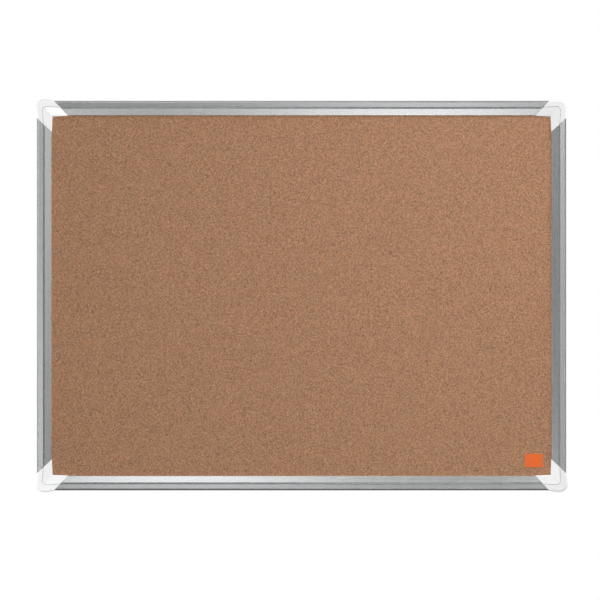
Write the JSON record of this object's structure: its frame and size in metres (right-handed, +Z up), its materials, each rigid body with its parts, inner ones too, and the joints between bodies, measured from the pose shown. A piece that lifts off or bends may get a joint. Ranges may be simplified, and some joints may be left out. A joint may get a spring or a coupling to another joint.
{
  "type": "cork bulletin board",
  "caption": "Framed rectangular cork pin board: metal rails, plastic corners that hold the wall screws under clip-on caps.",
  "frame": {"origin": "centre of the four wall-screw holes, on the plane of the wall behind the board", "axes": "+X to the right as the board is seen, +Z up, -Y out of the cork towards the viewer; the wall is at y = 0"},
  "size_m": [0.6096, 0.0156, 0.4496],
  "materials": {
    "cork": "matte",
    "softboard": "matte",
    "backing_paper": "matte",
    "rail_aluminium": "satin",
    "corner_plastic": "gloss",
    "cap_plastic": "gloss",
    "screw_zinc": "satin",
    "tag_plastic": "satin"
  },
  "bodies": {
    "board": {"cork_sheet": "cork", "softboard_core": "softboard", "backing_sheet": "backing_paper", "blank_tag": "tag_plastic", "rail_top": "rail_aluminium", "rail_bottom": "rail_aluminium", "rail_left": "rail_aluminium", "rail_right": "rail_aluminium", "corner_top_left": "corner_plastic", "corner_top_right": "corner_plastic", "corner_bottom_left": "corner_plastic", "corner_bottom_right": "corner_plastic", "leg_screws_top_left": "screw_zinc", "leg_screws_top_right": "screw_zinc", "leg_screws_bottom_left": "screw_zinc", "leg_screws_bottom_right": "screw_zinc"},
    "top_left_cap": {"cap_top_left": "cap_plastic"},
    "top_right_cap": {"cap_top_right": "cap_plastic"},
    "bottom_left_cap": {"cap_bottom_left": "cap_plastic"},
    "bottom_right_cap": {"cap_bottom_right": "cap_plastic"}
  },
  "joints": [
    {"name": "top_left_cap_pull", "type": "slide", "parent": "board", "child": "top_left_cap", "axis": [0, -1, 0], "range_m": [0, 0.015]},
    {"name": "top_right_cap_pull", "type": "slide", "parent": "board", "child": "top_right_cap", "axis": [0, -1, 0], "range_m": [0, 0.015]},
    {"name": "bottom_left_cap_pull", "type": "slide", "parent": "board", "child": "bottom_left_cap", "axis": [0, -1, 0], "range_m": [0, 0.015]},
    {"name": "bottom_right_cap_pull", "type": "slide", "parent": "board", "child": "bottom_right_cap", "axis": [0, -1, 0], "range_m": [0, 0.015]}
  ]
}
